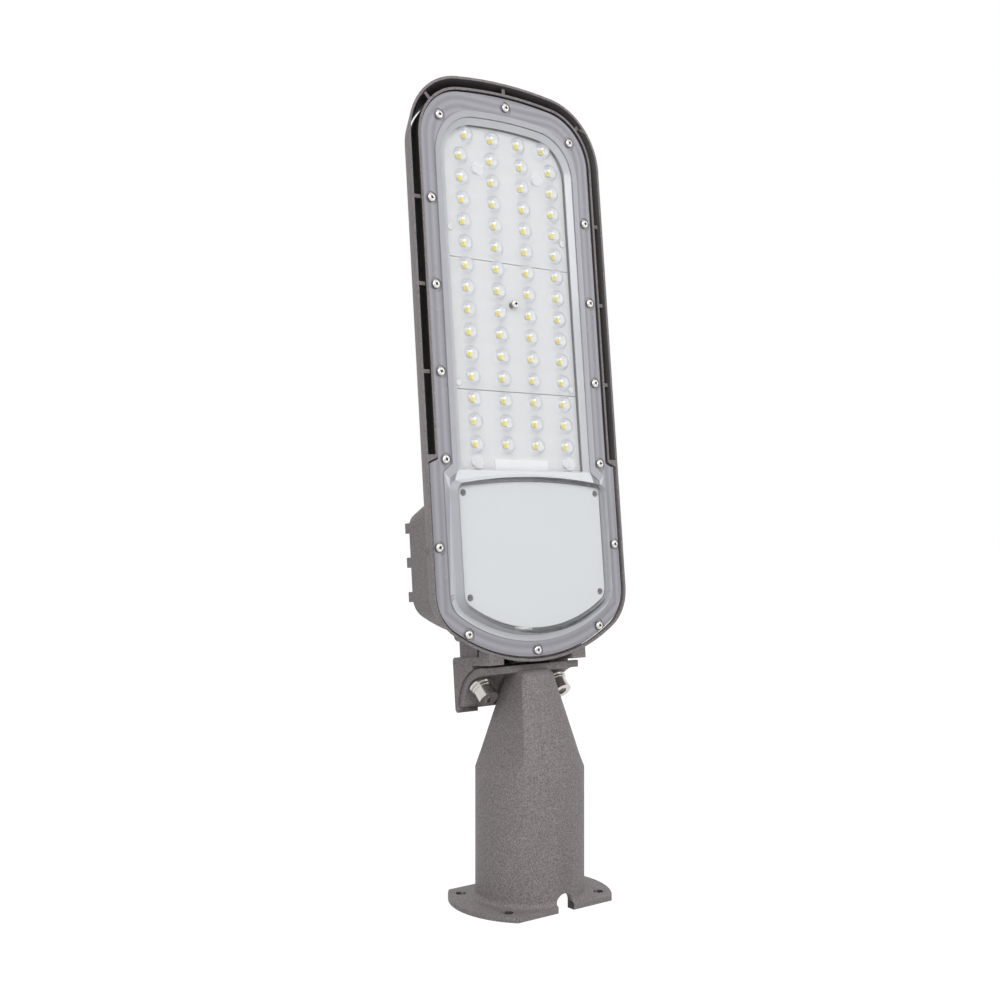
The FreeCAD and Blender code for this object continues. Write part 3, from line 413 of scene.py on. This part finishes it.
steel = turned_metal("turned_stainless", (0.46, 0.44, 0.42), (0.74, 0.72, 0.69), 0.07)
screw_steel = turned_metal("screw_stainless", (0.50, 0.48, 0.46), (0.72, 0.70, 0.67), 0.12)
recess = turned_metal("recess_shadow", (0.03, 0.028, 0.026), (0.07, 0.065, 0.06), 0.4)
dull_zinc = turned_metal("dull_zinc", (0.60, 0.61, 0.62), (0.72, 0.73, 0.74), 0.5)
for name in ("driver_screws", "tilt_bolts", "spring_washers", "flat_washers", "cable_gland",
             "gland_nut", "earth_screw"):
    nodes[name].data.materials.clear()
    nodes[name].data.materials.append(steel)
nodes["board_screws"].data.materials.clear()
nodes["board_screws"].data.materials.append(dull_zinc)


def pan_heads(source, name):
    """Pan heads with a cross recess, one in the place of each solid."""
    old = bmesh.new()
    old.from_mesh(nodes[source].data)
    bmesh.ops.remove_doubles(old, verts=old.verts, dist=0.00001)
    mesh = bmesh.new()
    for number, group in enumerate(islands(old)):
        low = Vector([min(v.co[i] for v in group) for i in range(3)])
        high = Vector([max(v.co[i] for v in group) for i in range(3)])
        top = max(v.co.dot(ahead) for v in group)
        middle = (low + high) / 2
        middle += ahead * (top - middle.dot(ahead))
        rings = []
        for reach, sunk, lobed in (
            (1.6, 2.0, 0), (1.6, 1.7, 0), (2.8, 1.7, 0), (2.85, 1.05, 0), (2.6, 0.55, 0),
            (2.1, 0.2, 0), (1.5, 0.03, 1), (1.42, 0.1, 1), (1.15, 0.95, 1), (0.2, 1.1, 0),
        ):
            ring = []
            for step in range(32):
                angle = math.pi * step / 16
                turned = angle + number
                waist = 1 - 0.52 * abs(math.sin(2 * angle)) ** 0.7 if lobed else 1
                out = Vector((math.cos(turned), 0, 0)) + upward * math.sin(turned)
                ring.append(mesh.verts.new(
                    middle + out * reach * waist / 1000 - ahead * sunk / 1000))
            rings.append(ring)
        for level in range(len(rings) - 1):
            for step in range(32):
                after = (step + 1) % 32
                face = mesh.faces.new((rings[level][step], rings[level][after],
                                       rings[level + 1][after], rings[level + 1][step]))
                face.smooth = True
                face.material_index = 1 if level > 6 else 0
        for ring, index in ((rings[0], 0), (rings[-1], 1)):
            mesh.faces.new(ring).material_index = index
    old.free()
    bmesh.ops.recalc_face_normals(mesh, faces=mesh.faces)
    data = bpy.data.meshes.new(name)
    mesh.to_mesh(data)
    mesh.free()
    data.materials.append(screw_steel)
    data.materials.append(recess)
    heads = bpy.data.objects.new(name, data)
    bpy.context.collection.objects.link(heads)
    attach(heads, "head")
    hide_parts(source)


pan_heads("cover_screws", "rim_pan_heads")
pan_heads("centre_screw", "middle_pan_head")
dots = slimmer_copy("panel_screws", "panel_dots", 0.36, 0, [recess], 0.0002)
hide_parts("panel_screws")


# Sealed inside: rubber seals, driver case, terminal block and surge unit.
rubber, shader, place = new_finish("black_rubber")
bloom = place.node("ShaderNodeTexNoise", Scale=200.0, Detail=2.0)
bloom.tint((0.02, 0.02, 0.02), (0.045, 0.045, 0.045)).into(shader, "Base Color")
shader.inputs["Roughness"].default_value = 0.7
plastic, shader, place = new_finish("moulded_case")
dull = place.node("ShaderNodeTexNoise", Scale=250.0, Detail=2.0)
dull.tint((0.50, 0.51, 0.52), (0.60, 0.61, 0.62)).into(shader, "Base Color")
shader.inputs["Roughness"].default_value = 0.45
for name in ("cover_gasket", "gland_seal"):
    nodes[name].data.materials.clear()
    nodes[name].data.materials.append(rubber)
for name in ("led_driver", "terminal_block", "surge_protector"):
    nodes[name].data.materials.clear()
    nodes[name].data.materials.append(plastic)


# Studio: white floor and surround, a large soft light on the left and a
# weaker one on the right, and the camera at the height of the lamp.
floor_mesh = bmesh.new()
bmesh.ops.create_grid(floor_mesh, x_segments=1, y_segments=1, size=6)
floor_data = bpy.data.meshes.new("studio_floor")
floor_mesh.to_mesh(floor_data)
floor_mesh.free()
floor = bpy.data.objects.new("studio_floor", floor_data)
bpy.context.collection.objects.link(floor)
floor.location.z = -0.0005
white, shader, place = new_finish("studio_white")
shader.inputs["Base Color"].default_value = (0.6, 0.6, 0.6, 1)
shader.inputs["Roughness"].default_value = 0.9


def seen_rays(tree, share):
    """How much of the paper white a ray sees: camera, glossy and clear rays."""
    rays = tree.nodes.new("ShaderNodeLightPath")
    camera_ray = Signal(tree, rays.outputs["Is Camera Ray"])
    glossy_ray = Signal(tree, rays.outputs["Is Glossy Ray"])
    clear_ray = Signal(tree, rays.outputs["Is Transmission Ray"])
    return camera_ray.sum("MAXIMUM", glossy_ray).sum("MAXIMUM", clear_ray) * share


tree = white.node_tree
paper = tree.nodes.new("ShaderNodeEmission")
paper.inputs["Strength"].default_value = 1.22
choose = tree.nodes.new("ShaderNodeMixShader")
seen_rays(tree, 0.8).into(choose, 0)
tree.links.new(shader.outputs[0], choose.inputs[1])
tree.links.new(paper.outputs[0], choose.inputs[2])
tree.links.new(choose.outputs[0], tree.nodes["Material Output"].inputs["Surface"])
floor_data.materials.append(white)

world = bpy.data.worlds.new("studio")
bpy.context.scene.world = world
world.use_nodes = True
tree = world.node_tree
sky = tree.nodes["Background"]
sky.inputs["Color"].default_value = (1, 1, 1, 1)
sky.inputs["Strength"].default_value = 0.38
seen = tree.nodes.new("ShaderNodeBackground")
seen.inputs["Color"].default_value = (1, 1, 1, 1)
seen.inputs["Strength"].default_value = 1.0
choose = tree.nodes.new("ShaderNodeMixShader")
seen_rays(tree, 1).into(choose, 0)
tree.links.new(sky.outputs[0], choose.inputs[1])
tree.links.new(seen.outputs[0], choose.inputs[2])
tree.links.new(choose.outputs[0], tree.nodes["World Output"].inputs["Surface"])


def soft_light(name, place, aim, size, power):
    data = bpy.data.lights.new(name, "AREA")
    data.shape = "RECTANGLE"
    data.size, data.size_y = size
    data.energy = power
    lamp = bpy.data.objects.new(name, data)
    bpy.context.collection.objects.link(lamp)
    lamp.location = place
    lamp.rotation_euler = (Vector(aim) - Vector(place)).to_track_quat("-Z", "Y").to_euler()
    return lamp


soft_light("key_light", (-1.6, -1.0, 1.2), (0, 0, 0.25), (1.2, 1.6), 15)
soft_light("fill_light", (1.3, -1.4, 0.9), (0, 0, 0.3), (1.2, 1.6), 7)
soft_light("front_light", (-0.5, -1.7, 1.5), (0, 0, 0.25), (1.4, 1.0), 16)
soft_light("top_light", (0, 0.4, 2.0), (0, 0, 0.3), (1.5, 1.5), 8)

eye = Vector((-0.5165, -0.6496, 0.2493))
look = Vector((0.6042, 0.7968, 0.0071)).normalized()
lens = bpy.data.cameras.new("photo_camera")
lens.sensor_width = 36
lens.lens = 46.43
camera = bpy.data.objects.new("photo_camera", lens)
bpy.context.collection.objects.link(camera)
camera.location = eye
camera.rotation_euler = look.to_track_quat("-Z", "Y").to_euler()
bpy.context.scene.camera = camera
bpy.context.scene.view_settings.view_transform = "Standard"
